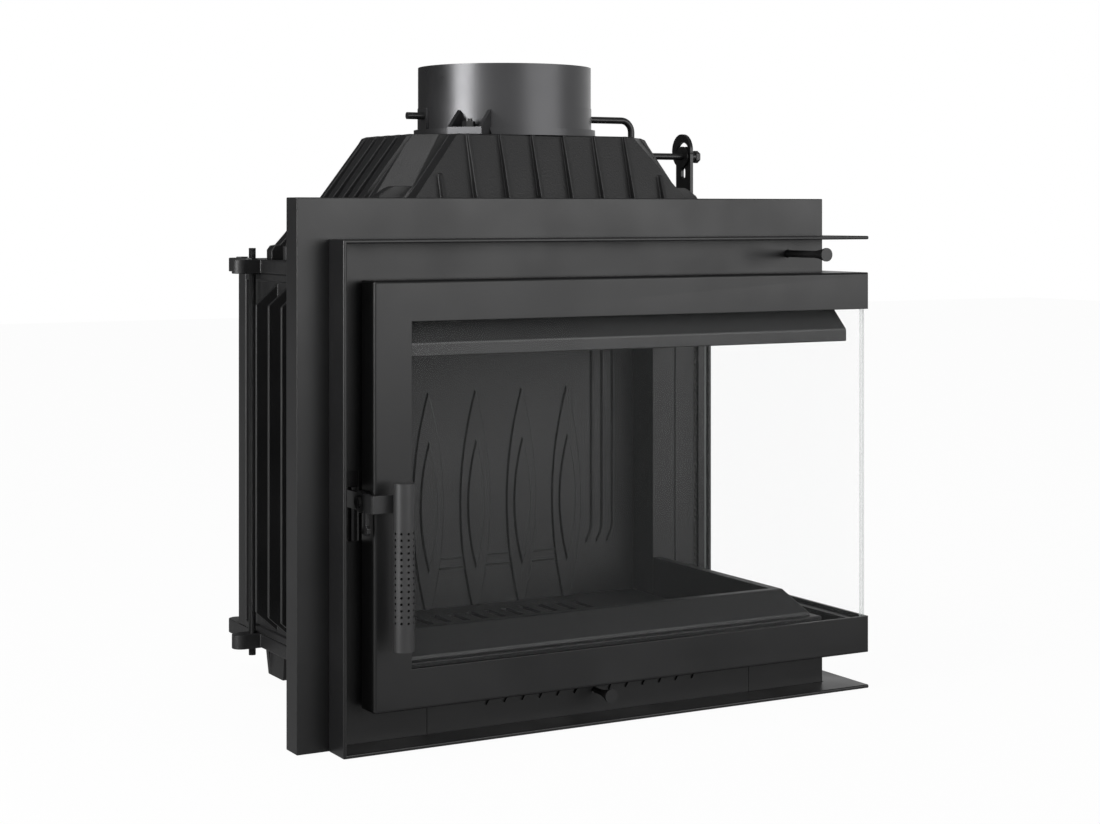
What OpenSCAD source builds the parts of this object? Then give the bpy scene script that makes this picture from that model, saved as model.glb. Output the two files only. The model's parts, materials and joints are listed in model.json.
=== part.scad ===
// Corner-glazed cast-iron fireplace insert, front and right side glazed.
// Zero is on the flue axis at floor level; X runs along the front, Y runs towards the back
// and Z runs up.

/* [Trim frame] */
// Width of the trim frame across the front
trim_w = 650; // [600:1:720]
// Height of the trim frame
trim_h = 514; // [505:1:530]
// Distance from the flue axis to the left end of the trim frame
trim_left = 310; // [305:1:330]
// Length of the trim frame along the glazed side
trim_side = 380; // [378:1:400]
// How far the trim frame stands proud of the cover frame
trim_reach = 37.5; // [36:0.5:40]
// Sheet thickness of the trim frame
trim_t = 4; // [3:0.5:6]

/* [Cover frame] */
// Height of the cover frame
cover_h = 556; // [545:1:580]
// Width of cover frame that shows beyond the trim frame
cover_margin = 34; // [28:1:45]
// Sheet thickness of the cover frame
cover_t = 3; // [2:0.5:4]
// Depth of the folded edge of the cover frame
cover_return = 28; // [20:1:32]

/* [Door] */
// Gap between the trim post and the latch edge of the door
door_side_gap = 33; // [30:1:36]
// Height of the lower edge of the door
door_z0 = 40.5; // [39:0.5:42]
// Height of the door
door_h = 432; // [428:1:436]
// Width of the rails and stiles
door_rail = 41.5; // [40:0.5:45]
// Depth of the folded edge of the door
door_d = 30; // [28:0.5:32]
// Sheet thickness of the door
door_t = 4; // [3:0.5:4.5]
// Thickness of the glass panes
glass_t = 4; // [3:0.5:5]
// How far the panes run behind the rails
glass_lap = 15; // [10:1:16]

/* [Body castings] */
// Distance from the left end of the trim frame to the left wall of the cast body
body_inset = 48; // [46:1:52]
// Depth of the body from the door face to its back edge
body_back = 420; // [415:1:435]
// Height of the underside of the base plate
base_z0 = 45; // [44:0.5:46]
// Thickness of the base plate and the top plate
plate_t = 16; // [12:1:18]
// Height of the upper face of the top plate
top_z1 = 487; // [485:1:490]
// Wall thickness of the castings
wall_t = 8; // [6:1:10]
// Height of the cooling fins on the walls
fin_h = 8; // [5:1:9]
// Distance between cooling fins
fin_pitch = 37; // [30:1:50]

/* [Smoke dome] */
// Height of the top face of the dome
dome_z1 = 627; // [615:1:640]
// Half width of the dome at its foot
dome_foot_x = 238; // [225:1:240]
// Half width of the dome at its top
dome_top_x = 148; // [140:1:155]
// Distance between the fins on the front of the dome
dome_fin_pitch = 40; // [36:1:50]
// Thickness of the front fins of the dome
dome_fin_t = 4; // [3:0.5:7]

/* [Flue and damper] */
// Outside diameter of the flue spigot
flue_od = 200; // [195:1:205]
// Wall thickness of the flue spigot
flue_t = 4; // [3:0.5:6]
// Height of the upper edge of the flue spigot
flue_z1 = 707; // [700:1:730]
// Distance of the flue axis behind the door face
flue_y = 243; // [240:1:246]
// Height of the damper shaft
damper_z = 650; // [648:1:653]
// Diameter of the damper shaft
damper_rod = 8; // [6:0.5:9]
// Throw of the crank at the end of the damper shaft
crank_r = 42; // [38:1:44]

/* [Handle] */
// Diameter of the handle grip
grip_d = 21; // [18:0.5:24]
// Length of the handle grip
grip_l = 166; // [140:1:190]
// Height of the latch pivot
latch_z = 252; // [240:1:270]

/* [Controls] */
// Diameter of the knob face
knob_d = 15; // [12:0.5:18]
// Height of the damper pull rod
pull_z = 494; // [493:0.5:496]
// Sideways place of the damper pull rod
pull_x = 254; // [252:1:258]
// Height of the air control rod
air_z = 28; // [26:0.5:29]

/* [Hidden] */

$fn = 64;
// overrun of every cut past the faces that it opens
over = 1;
// clearance between pieces that pass each other, and running fit of a shaft in its bore
gap = 0.3;
fit = 0.05;
fine_fn = 24;
knob_flare = 1.35;

// trim and cover frame
x_left = -trim_left;
x_right = trim_w - trim_left;
cover_x0 = x_left - cover_margin;
cover_y1 = trim_side + cover_margin;
cover_back = trim_reach + cover_t;

// door
door_x0 = x_left + door_side_gap;
door_y1 = trim_side - door_side_gap;
door_z1 = door_z0 + door_h;
stile_w = door_rail + 1.5 * gap;
stile_back_w = 24;
back_lap = 5;
win_x0 = door_x0 + stile_w;
win_y1 = door_y1 - stile_back_w;
win_z0 = door_z0 + door_rail;
win_z1 = door_z1 - door_rail;
inner_d = 17;
glass_d1 = door_t + glass_t;

// seat ring of the front casting, on which the door seal closes
seat_d = 20;
seat_back = 49;
seat_w = 7;
seat_gap = 4.5;
latch_side_gap = 9;
seat_x0 = door_x0 + door_t + latch_side_gap;
seat_y1 = door_y1 - door_t - seat_gap - gap;
seat_z0 = door_z0 + door_t + seat_gap;
seat_z1 = door_z1 - door_t - seat_gap;
open_x0 = seat_x0 + seat_w;
open_y1 = seat_y1 - seat_w;
open_z0 = seat_z0 + seat_w;
open_z1 = seat_z1 - seat_w;
channel_t = 2;

// body
body_half = trim_left - body_inset;
base_z1 = base_z0 + plate_t;
top_z0 = top_z1 - plate_t;
wall_in = body_half - wall_t;
body_right = x_right - seat_back;
back_in = 380;
ear_r = 11;
ear_reach = 13;
ear_out = 6;
rear_out = 10;
rear_ear_left = 12;
rear_ear_right = 16;
rear_ear_x = [rear_ear_left - body_half, body_half - rear_ear_right];
rod_d = 8;
rod_up = 13;
rod_down = 9;
nut_af = 13;
nut_h = 6.5;
nut_sink = 5;
nut_seat_r = 8.5;

// foot of the dome and its step at the front
dome_skirt = 18;
dome_top_y = 101;
dome_foot_y = 134;
dome_front_top_x = 112;
dome_front_foot_x = 216;
step_top_y = 82;
step_foot_y = 113;
corner_foot = 226;
corner_top = 146;

// flue
flue_r = flue_od / 2;
collar_reach = 5;
collar_r = flue_r + collar_reach;
collar_h = 8;
gusset_h = 20;
gusset_reach = 30;
gusset_side = 18;
gusset_t = 4;
neck_step = 0.6;
neck_h = 33;

// hinge axis
hinge_in = 16;
hinge_behind = 9;
hinge_x = x_right - hinge_in;
hinge_y = door_y1 + hinge_behind;
hinge_r = 7;
pin_r = 4;
hinge_low_z = 76;
hinge_high_z = 425;
knuckle_h = 22;

// latch
latch_y = 13;
latch_t = 4;
latch_side = 6;
latch_x1 = door_x0 - latch_side;
arm_h = 18;
strap_y = -19;
grip_x = -258;
grip_y = strap_y - grip_d / 2;
grip_above = 21.5;
grip_z1 = latch_z + grip_above;

// damper linkage
knob_l = 21;
pull_rod_r = 4;
pull_front = -36;
pull_len = 302;
air_front = 2;
air_rod_r = 3;

frame_tone = [0.17, 0.17, 0.18];
cast_tone = [0.12, 0.12, 0.12];
steel_tone = [0.3, 0.3, 0.31];
grip_tone = [0.42, 0.42, 0.42];
seal_tone = [0.35, 0.35, 0.34];
glass_tone = [0.75, 0.78, 0.78, 0.25];

// every piece is drawn from the door face, then moved so that the flue axis stands at zero
module place() { translate([0, -flue_y, 0]) children(); }

// band that runs along the front and turns the corner along the side;
// d0 and d1 are its depths from the outer faces
module corner_band(d0, d1, x0, y1, z0, z1) {
    translate([0, 0, z0]) linear_extrude(z1 - z0)
        polygon([[x0, d0], [x_right - d0, d0], [x_right - d0, y1],
            [x_right - d1, y1], [x_right - d1, d1], [x0, d1]]);
}

// the same band with its own window cut through it
module corner_ring(d0, d1, x0, y1, z0, z1, w) {
    difference() {
        corner_band(d0, d1, x0, y1, z0, z1);
        corner_band(d0 - over, d1 + over, x0 + w, y1 - w, z0 + w, z1 - w);
    }
}

// bent strip that turns the corner with a mitre; points are [depth, height]
module mitred_strip(points, x0, y1) {
    deep = max([for (p = points) p[0]]) + over;
    high = max([for (p = points) p[1]]) + over;
    intersection() {
        translate([x0, 0, 0]) rotate([90, 0, 90]) linear_extrude(x_right - x0) polygon(points);
        linear_extrude(high)
            polygon([[x0 - over, 0], [x_right, 0], [x_right - deep, deep], [x0 - over, deep]]);
    }
    intersection() {
        translate([0, y1, 0]) rotate([90, 0, 0]) linear_extrude(y1)
            polygon([for (p = points) [x_right - p[0], p[1]]]);
        linear_extrude(high)
            polygon([[x_right, 0], [x_right, y1 + over], [x_right - deep, y1 + over],
                [x_right - deep, deep]]);
    }
}

// ridge with a vertical skirt and two sloping flanks, lying along X
module ridge(foot, top, z0, z_slope, z1, length) {
    rotate([90, 0, 90]) linear_extrude(2 * length, center = true)
        polygon([[-foot, z0], [foot, z0], [foot, z_slope], [top, z1], [-top, z1],
            [-foot, z_slope]]);
}

module rod_x(r, x0, x1, y, z) {
    translate([x0, y, z]) rotate([0, 90, 0]) cylinder(r = r, h = x1 - x0);
}
module rod_y(r, y0, y1, x, z) {
    translate([x, y0, z]) rotate([-90, 0, 0]) cylinder(r = r, h = y1 - y0);
}
module hex_nut(af, h, bore_r) {
    difference() {
        cylinder(d = af / cos(30), h = h, $fn = 6);
        translate([0, 0, -over]) cylinder(r = bore_r, h = h + 2 * over, $fn = fine_fn);
    }
}
module knob(r, neck_r, length) {
    rotate([90, 0, 0]) rotate_extrude()
        polygon(concat([[0, 0], [neck_r, 0]],
            [for (i = [1 : 6]) [neck_r + (r - neck_r) * pow(i / 6, knob_flare), length * 0.9 * i / 6]],
            [[r, length], [0, length]]));
}

// Cover frame: outer sheet with folded edges, open for the door and the lower panel
panel_half = 200;
panel_gap = 0.5;
open_edge = 2;
slot_below = 43;
slot_above = 28;
slot_side = 6;
slot_z0 = latch_z - slot_below;
slot_z1 = latch_z + slot_above;
module cover_frame() {
    color(frame_tone) place() difference() {
        union() {
            corner_band(trim_reach, cover_back, cover_x0, cover_y1, 0, cover_h);
            corner_band(trim_reach, trim_reach + cover_return, cover_x0, cover_y1,
                cover_h - cover_t, cover_h);
            translate([cover_x0, trim_reach, 0]) cube([cover_t, cover_return, cover_h]);
        }
        corner_band(trim_reach - over, cover_back + over, seat_x0 - open_edge, seat_y1 + open_edge,
            seat_z0 - open_edge, seat_z1 + open_edge);
        translate([-panel_half - panel_gap, trim_reach - over, trim_t])
            cube([2 * (panel_half + panel_gap), cover_t + 2 * over, seat_z0 - trim_t]);
        rod_y(pull_rod_r + 2 * gap, trim_reach - over, cover_back + over, pull_x, pull_z);
        translate([latch_x1 - latch_t - slot_side, trim_reach - over, slot_z0])
            cube([latch_t + 2 * slot_side, cover_t + 2 * over, slot_z1 - slot_z0]);
    }
}

// Trim frame: shelf strips above and below the door with a post at each end
module trim_frame() {
    color(frame_tone) place() {
        corner_band(0, trim_reach, x_left, trim_side, 0, trim_t);
        corner_band(0, trim_reach, x_left, trim_side, trim_h - trim_t, trim_h);
        translate([x_left, 0, trim_t]) cube([trim_t, trim_reach, trim_h - 2 * trim_t]);
        translate([x_right - trim_reach, trim_side - trim_t, trim_t])
            cube([trim_reach, trim_t, trim_h - 2 * trim_t]);
    }
}

// Lower panel: carries the air slots and the air control rod
panel_slots = 13;
panel_slot_pitch = 21.3;
panel_slot_w = 3;
panel_slot_l = 18;
panel_slot_z = 35;
panel_slot_lean = 30;
module lower_panel() {
    color(frame_tone) place() difference() {
        translate([-panel_half, trim_reach, trim_t])
            cube([2 * panel_half, cover_t, seat_z0 - open_edge - trim_t]);
        for (i = [0 : panel_slots - 1])
            translate([(i - (panel_slots - 1) / 2) * panel_slot_pitch, cover_back + over,
                panel_slot_z])
                if (i != (panel_slots - 1) / 2) rotate([90, panel_slot_lean, 0])
                    linear_extrude(cover_t + 2 * over)
                        translate([-panel_slot_w / 2, -panel_slot_l / 2])
                            square([panel_slot_w, panel_slot_l]);
        rod_y(air_rod_r + gap, trim_reach - over, cover_back + over, 0, air_z);
    }
}

// Front casting: flange behind the cover frame and the raised seat for the door seal
module front_casting() {
    color(cast_tone) place() difference() {
        union() {
            corner_band(seat_d, seat_back, seat_x0, seat_y1, seat_z0, seat_z1);
            corner_band(cover_back, seat_back, -body_half, body_back - wall_t, base_z0, top_z1);
        }
        corner_band(seat_d - over, seat_back + over, open_x0, open_y1, open_z0, open_z1);
    }
}

// Ears for the tie rods: [x, y, direction in which the ear reaches out]
left_ear_front = 85;
left_ear_back = 109;
ears = [[-body_half - ear_out, left_ear_front, 180],
    [-body_half - ear_out, flue_y + left_ear_back, 180],
    [rear_ear_x[0], body_back + rear_out, 90], [rear_ear_x[1], body_back + rear_out, 90]];
module ear_outline(grow) {
    for (e = ears) translate([e[0], e[1]]) rotate(e[2]) {
        circle(r = ear_r + grow);
        translate([ear_reach, 0]) circle(r = ear_r + grow);
        translate([-ear_r, -ear_r - grow]) square([ear_r + ear_reach, 2 * (ear_r + grow)]);
    }
}
module plate_outline() {
    translate([-body_half, seat_back]) square([body_half + body_right, body_back - seat_back]);
    ear_outline(0);
}
module rod_holes(z0, z1, seat_z) {
    for (e = ears) translate([e[0], e[1], 0]) {
        translate([0, 0, z0 - over]) cylinder(r = rod_d / 2 + gap, h = z1 - z0 + 2 * over);
        translate([0, 0, seat_z]) cylinder(r = nut_seat_r, h = nut_h + over);
    }
}

grate_half = 165;
grate_y0 = 130;
grate_y1 = 350;
grate_t = 10;
grate_ledge = 6;
module base_plate() {
    color(cast_tone) place() difference() {
        translate([0, 0, base_z0]) linear_extrude(plate_t) plate_outline();
        translate([-grate_half + grate_ledge, grate_y0 + grate_ledge, base_z0 - over])
            cube([2 * (grate_half - grate_ledge), grate_y1 - grate_y0 - 2 * grate_ledge,
                plate_t + 2 * over]);
        translate([-grate_half - gap, grate_y0 - gap, base_z1 - wall_t])
            cube([2 * (grate_half + gap), grate_y1 - grate_y0 + 2 * gap, wall_t + over]);
        rod_holes(base_z0, base_z1, base_z0 - over);
    }
}

module fin_profile(reach, z0, z1, slope) {
    polygon([[0, z0], [reach, z0 + slope], [reach, z1 - slope], [0, z1]]);
}
wall_fin_t = 6;
wall_fin_slope = 24;
wall_fin_lift = 30;
side_rib_t = 5;
wall_recess = 3;
side_rib_h = 22.5;
side_rib_lift = 11;
side_rib_y = 115;
side_ribs = 6;
module left_wall() {
    color(cast_tone) place() {
        translate([-body_half + wall_recess, seat_back, base_z1])
            cube([wall_t - wall_recess, back_in + wall_t - seat_back, top_z0 - base_z1]);
        // thicker along both plates
        for (z = [base_z1, top_z0 - wall_t]) translate([-body_half, seat_back, z])
            cube([wall_t, back_in + wall_t - seat_back, wall_t]);
        for (i = [0 : side_ribs - 1])
            translate([wall_recess - body_half, side_rib_y + i * fin_pitch + side_rib_t / 2, 0])
                rotate([90, 0, 0]) linear_extrude(side_rib_t) mirror([1, 0])
                    fin_profile(side_rib_h + wall_recess, base_z1 + side_rib_lift, top_z0 - side_rib_lift,
                        side_rib_h);
    }
}

// Cast leaf ornament on the inner face of the back wall
leaf_pitch = 64;
leaf_count = 6;
leaf_half = 20.5;
leaf_wide_z = 185;
leaf_tip_z = 324;
leaf_inner_share = 0.56;
leaf_relief = 3;
module leaf_outline(half, rise) {
    // two arcs that meet in a point above and run down to the floor
    r = (rise * rise + half * half) / (2 * half);
    intersection() {
        translate([half - r, leaf_wide_z]) circle(r = r, $fn = 180);
        translate([r - half, leaf_wide_z]) circle(r = r, $fn = 180);
        translate([-half, base_z1]) square([2 * half, leaf_tip_z - base_z1]);
    }
}
line_w = 3;
line_x = 197;
line_step = 15.4;
line_foot = 150;
line_bend_r = 34;
bar_z = [108, 120];
module back_wall() {
    color(cast_tone) place() {
        translate([-wall_in, back_in, base_z1])
            cube([wall_in + body_right, wall_t, top_z0 - base_z1]);
        // flange and ribs behind
        translate([-body_half, back_in + wall_t, base_z1])
            cube([2 * wall_t, wall_t, top_z0 - base_z1]);
        translate([-body_half, back_in + wall_t, base_z1])
            cube([wall_t, body_back - back_in - 2 * wall_t, top_z0 - base_z1]);
        for (i = [-5 : 6])
            translate([i * fin_pitch, back_in + wall_t, 0]) rotate([90, 0, 90])
                linear_extrude(wall_fin_t)
                    fin_profile(2 * fin_h, base_z1 + wall_fin_lift, top_z0 - wall_fin_lift,
                        wall_fin_slope);
        // leaves
        for (i = [0 : leaf_count - 1])
            translate([(i - (leaf_count - 1) / 2) * leaf_pitch, back_in, 0]) {
                rotate([90, 0, 0]) linear_extrude(leaf_relief)
                    leaf_outline(leaf_half, leaf_tip_z - leaf_wide_z);
                rotate([90, 0, 0]) linear_extrude(2 * leaf_relief)
                    leaf_outline(leaf_half * leaf_inner_share,
                        (leaf_tip_z - leaf_wide_z) * leaf_inner_share);
            }
        // lines that frame the leaves and turn in at their feet
        for (side = [-1, 1]) for (i = [0 : 2])
            translate([side * (line_x + i * line_step), back_in, 0]) {
                translate([-line_w / 2, -leaf_relief, line_foot])
                    cube([line_w, leaf_relief, top_z0 - line_foot]);
                intersection() {
                    translate([-side * line_bend_r, 0, line_foot]) rotate([90, 0, 0])
                        linear_extrude(leaf_relief) difference() {
                            circle(r = line_bend_r + line_w / 2);
                            circle(r = line_bend_r - line_w / 2);
                        }
                    translate([side > 0 ? -line_bend_r / 4 : -line_w, -leaf_relief,
                        line_foot - line_bend_r])
                        cube([line_bend_r / 4 + line_w, leaf_relief, line_bend_r]);
                }
            }
        // short bars between the leaves
        for (i = [0 : leaf_count - 2]) for (z = bar_z)
            translate([(i + 1 - leaf_count / 2) * leaf_pitch - leaf_pitch / 4,
                back_in - leaf_relief / 2, z])
                cube([leaf_pitch / 2, leaf_relief / 2, line_w / 2]);
    }
}

// Rear column: closes the body between the back wall and the glazed side
column_x = 258;
module rear_column() {
    color(cast_tone) place() {
        translate([column_x, open_y1, base_z1])
            cube([body_right - column_x, wall_t, top_z0 - base_z1]);
        translate([column_x, open_y1 + wall_t, base_z1])
            cube([wall_t, back_in - open_y1 - wall_t, top_z0 - base_z1]);
    }
}

vent_x = 200;
vent_y = 100;
module top_plate() {
    color(cast_tone) place() difference() {
        translate([0, 0, top_z0]) linear_extrude(plate_t) plate_outline();
        translate([-vent_x, flue_y - vent_y, top_z0 - over])
            cube([2 * vent_x, 2 * vent_y, plate_t + 2 * over]);
        rod_holes(top_z0, top_z1, top_z1 - nut_sink);
    }
}

// Legs: L-shaped in plan, each flank tapers towards the floor
leg_top = 50;
leg_taper = 5;
leg_inset = 30;
module leg_flank() {
    rotate([90, 0, 0]) linear_extrude(wall_t)
        polygon([[0, base_z0], [leg_taper, 0], [leg_top - leg_taper, 0], [leg_top, base_z0]]);
}
module legs() {
    color(cast_tone) place()
        for (x = [-body_half + leg_inset, body_right - leg_inset],
            y = [seat_back + leg_inset, body_back - leg_inset / 2])
            translate([x, y, 0]) mirror([x > 0 ? 1 : 0, 0]) mirror([0, y > flue_y ? 1 : 0]) {
                translate([0, wall_t, 0]) leg_flank();
                translate([leg_taper, 0, 0]) rotate(90) leg_flank();
            }
}

module tie_rods() {
    // the rods at the side stand out above their nuts, those at the back end flush
    color(steel_tone) place() for (e = ears) translate([e[0], e[1], base_z0 - rod_down])
        cylinder(d = rod_d, h = top_z1 - base_z0 + rod_down
            + (e[2] == 180 ? rod_up : nut_h - nut_sink));
}
module tie_rod_nuts() {
    color(steel_tone) place() for (e = ears) translate([e[0], e[1], 0]) {
        translate([0, 0, top_z1 - nut_sink]) hex_nut(nut_af, nut_h, rod_d / 2);
        translate([0, 0, base_z0]) hex_nut(nut_af, nut_h - over, rod_d / 2);
    }
}

// Smoke dome: octagonal hood with a raised front and back, fins, corner posts and lugs
dome_z0 = top_z1;
slope_z = dome_z0 + dome_skirt;
rib_y = 88;
rib_t = 16;
rib_in = 73;
rib_h = 82;
rear_rib_h = 58;
// bolt lugs: two on the glazed side, two between the fins on the other side
lug_in = 14;
lug_side = 107.5;
lug_out = 8;
lugs = [[dome_foot_x - lug_in, -lug_side], [dome_foot_x - lug_in, lug_side],
    [-dome_foot_x - lug_out, -42], [-dome_foot_x - lug_out, 42]];
lug_r = 11;
lug_step = 2;
lug_h = dome_skirt - lug_step;
side_fin_t = 9;
side_fin_pitch = 28;
front_fin_h = 12;
front_fin_top = 5;
module hood(shrink) {
    z0 = shrink > 0 ? dome_z0 - over : dome_z0;
    z1 = dome_z1 - shrink;
    wide = 2 * dome_foot_x;
    intersection() {
        ridge(step_foot_y - shrink, step_top_y - shrink, z0, slope_z, z1, wide);
        rotate(90) ridge(dome_foot_x - shrink, dome_top_x - shrink, z0, slope_z, z1, wide);
        rotate(45) ridge(corner_foot - shrink, corner_top - shrink, z0, slope_z, z1, wide);
        rotate(-45) ridge(corner_foot - shrink, corner_top - shrink, z0, slope_z, z1, wide);
    }
    intersection() {
        ridge(dome_foot_y - shrink, dome_top_y - shrink, z0, slope_z, z1, wide);
        rotate(90) ridge(dome_front_foot_x - shrink, dome_front_top_x - shrink, z0, slope_z, z1,
            wide);
    }
}
function front_edge_z(x) = dome_z1 - max(0, x - dome_front_top_x) * (dome_z1 - slope_z)
    / (dome_front_foot_x - dome_front_top_x);
function dome_front_y(z) = dome_top_y + (dome_foot_y - dome_top_y) * (dome_z1 - z)
    / (dome_z1 - slope_z);
function dome_side_x(z) = dome_top_x + (dome_foot_x - dome_top_x) * (dome_z1 - z)
    / (dome_z1 - slope_z);
crest_w = 6;
crest_drop = 2;
brow_w = 10;
brow_drop = 8;
module dome_fins() {
    // front and back
    for (turn = [0, 180], i = [-3.5 : 1 : 3.5]) rotate(turn) {
        x = i * dome_fin_pitch;
        z1 = front_edge_z(abs(x) + 2.5 * dome_fin_t);
        translate([x - dome_fin_t / 2, 0, 0]) rotate([90, 0, 90]) linear_extrude(dome_fin_t)
            polygon([[-dome_front_y(z1) + wall_t / 2, z1],
                [-dome_front_y(z1) - front_fin_top, z1],
                [-dome_front_y(slope_z) - front_fin_h, slope_z],
                [-dome_front_y(slope_z) - front_fin_h, dome_z0 + gap],
                [-dome_foot_y + wall_t / 2, dome_z0 + gap]]);
    }
    // sides
    for (side = [0, 1], i = [-2 : 2]) mirror([side, 0]) {
        y = i * side_fin_pitch;
        translate([0, y + side_fin_t / 2, 0]) rotate([90, 0, 0]) linear_extrude(side_fin_t)
            polygon([[dome_top_x - wall_t / 2, dome_z1], [dome_top_x, dome_z1],
                [dome_top_x + crest_w, dome_z1 - crest_drop],
                [dome_top_x + brow_w, dome_z1 - brow_drop],
                [dome_side_x(slope_z + 2 * fin_h) + fin_h, slope_z + 2 * fin_h],
                [dome_foot_x, slope_z], [dome_foot_x - wall_t / 2, slope_z]]);
    }
}
// rib at each corner of the dome, with a long foot; those in front are higher, and the feet
// on the glazed side end short of the pull rod
rib_top_w = 22;
rib_turn_w = 28;
rib_turn_drop = 3;
rib_brow_w = 37;
rib_brow_drop = 9;
rear_top_w = 43;
rear_brow_w = 48;
rear_brow_drop = 2;
rib_shin_w = 69;
rib_shin_h = 30;
foot_h = 17;
short_foot_w = 79;
long_foot_w = 81;
toe_w = 87;
toe_h = 16;
toe_end_w = 91;
toe_end_h = 11;
module corner_rib(sx, sy) {
    top = sy < 0 ? [[0, rib_h], [rib_top_w, rib_h], [rib_turn_w, rib_h - rib_turn_drop],
            [rib_brow_w, rib_h - rib_brow_drop]]
        : [[0, rear_rib_h], [rear_top_w, rear_rib_h], [rear_brow_w, rear_rib_h - rear_brow_drop]];
    foot = sx > 0 ? [[rib_shin_w, rib_shin_h], [short_foot_w, foot_h], [short_foot_w, 0]]
        : [[rib_shin_w, rib_shin_h], [long_foot_w, foot_h], [toe_w, toe_h], [toe_end_w, toe_end_h],
            [toe_end_w, 0]];
    mirror([sx > 0 ? 0 : 1, 0]) translate([dome_foot_x - rib_in, sy * rib_y + rib_t / 2, dome_z0])
        rotate([90, 0, 0]) linear_extrude(rib_t)
            polygon(concat([[0, 0]], top, foot));
}
module smoke_dome() {
    color(cast_tone) place() translate([0, flue_y, 0]) difference() {
        union() {
            hood(0);
            dome_fins();
            for (sx = [-1, 1], sy = [-1, 1]) corner_rib(sx, sy);
            for (l = lugs) translate([l[0], l[1], dome_z0]) cylinder(r = lug_r, h = lug_h);
        }
        hood(wall_t);
        translate([0, 0, dome_z1 - wall_t - over])
            cylinder(r = flue_r - flue_t, h = wall_t + 2 * over);
        for (l = lugs) translate([l[0], l[1], dome_z0 - over])
            cylinder(r = pin_r + gap, h = dome_skirt + 2 * over, $fn = fine_fn);
    }
}
module dome_bolts() {
    color(steel_tone) place() for (l = lugs)
        translate([l[0], flue_y + l[1], dome_z0 + lug_h]) {
            cylinder(d = nut_af / cos(30), h = nut_h, $fn = 6);
            translate([0, 0, -lug_h]) cylinder(r = pin_r, h = lug_h, $fn = fine_fn);
        }
}

// Flue spigot: tube on a collar, with bosses for the damper shaft, gussets and bolt lugs
boss_half = 6.5;
boss_reach = 4;
boss_top = 28;
bolt_out = 16;
bolt_up = 3;
gusset_crest = 2;
bolt_ring_r = flue_r + bolt_out;
bolt_angles = [42, 222];
module flue_spigot() {
    color(steel_tone) place() translate([0, flue_y, 0]) difference() {
        union() {
            translate([0, 0, dome_z1]) cylinder(r = collar_r, h = collar_h, $fn = 128);
            translate([0, 0, dome_z1]) cylinder(r = flue_r, h = flue_z1 - dome_z1, $fn = 128);
            // thicker neck, on which the flue pipe stops
            translate([0, 0, dome_z1]) cylinder(r = flue_r + neck_step, h = neck_h, $fn = 128);
            // upright tabs that the damper shaft turns in
            for (side = [-1, 1])
                translate([side * flue_r - boss_reach, -boss_half, dome_z1 + collar_h / 2])
                    cube([2 * boss_reach, 2 * boss_half, boss_top]);
            // two ears with a bolt between two gussets
            for (a = bolt_angles) rotate(a) {
                translate([0, -gusset_side - gusset_t / 2, dome_z1])
                    cube([flue_r + gusset_reach, 2 * gusset_side + gusset_t, collar_h]);
                for (side = [-1, 1]) translate([0, side * gusset_side + gusset_t / 2, 0])
                    rotate([90, 0, 0]) linear_extrude(gusset_t)
                        polygon([[flue_r - flue_t, dome_z1 + collar_h / 2],
                            [flue_r + gusset_reach, dome_z1 + collar_h / 2],
                            [flue_r + gusset_reach, dome_z1 + collar_h],
                            [flue_r - flue_t, dome_z1 + collar_h + gusset_h + gusset_crest]]);
            }
        }
        translate([0, 0, dome_z1 - over])
            cylinder(r = flue_r - flue_t, h = flue_z1 - dome_z1 + 2 * over, $fn = 128);
        rod_x(damper_rod / 2 + fit, -flue_r - boss_reach - over, flue_r + boss_reach + over, 0,
            damper_z);
        for (a = bolt_angles) rotate(a) translate([bolt_ring_r, 0, dome_z1 - over])
            cylinder(r = pin_r + gap, h = collar_h + 2 * over, $fn = fine_fn);
    }
}
module flue_bolts() {
    color(steel_tone) place() translate([0, flue_y, 0]) for (a = bolt_angles) rotate(a)
        translate([bolt_ring_r, 0, dome_z1 + collar_h]) {
            cylinder(d = nut_af / cos(30), h = nut_h, $fn = 6);
            translate([0, 0, -collar_h]) cylinder(r = pin_r, h = collar_h + nut_h + bolt_up,
                $fn = fine_fn);
        }
}

// Smoke baffle: cast plate that rests on ledges and drives the smoke forward
baffle_z = 405;
baffle_rise = 34;
baffle_y0 = 150;
ledge_w = 14;
ledge_h = 10;
module smoke_baffle() {
    color(cast_tone) place() translate([-wall_in + gap, 0, 0]) rotate([90, 0, 90])
        linear_extrude(2 * (wall_in - gap))
            polygon([[baffle_y0, baffle_z + baffle_rise], [back_in - leaf_relief - gap, baffle_z],
                [back_in - leaf_relief - gap, baffle_z + wall_t],
                [baffle_y0, baffle_z + baffle_rise + wall_t]]);
}
module baffle_ledges() {
    color(cast_tone) place() for (side = [-1, 1])
        translate([side > 0 ? column_x - ledge_w : -wall_in, 0, 0]) rotate([90, 0, 90])
            linear_extrude(ledge_w) {
                y0 = side > 0 ? open_y1 : baffle_y0 + ledge_w;
                span = back_in - leaf_relief - gap - baffle_y0;
                z_back = baffle_z - gap;
                z_at = z_back + baffle_rise * (back_in - leaf_relief - gap - y0) / span;
                polygon([[y0, z_at - ledge_h], [back_in - leaf_relief, z_back - ledge_h],
                    [back_in - leaf_relief, z_back], [y0, z_at]]);
            }
}

// Strip that washes the inside of the panes with air
wash_t = 3;
wash_d = 18;
wash_z0 = 394;
wash_z1 = 407.5;
wash_back = 36;
wash_bend = 449;
module glass_wash_strip() {
    color(frame_tone) place() mitred_strip([[wash_d, wash_z0], [wash_d, wash_z1], [wash_back, wash_bend],
        [wash_back, open_z1], [wash_back + wash_t, open_z1], [wash_back + wash_t, wash_bend],
        [wash_d + wash_t, wash_z1], [wash_d + wash_t, wash_z0]], open_x0, open_y1);
}

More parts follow.
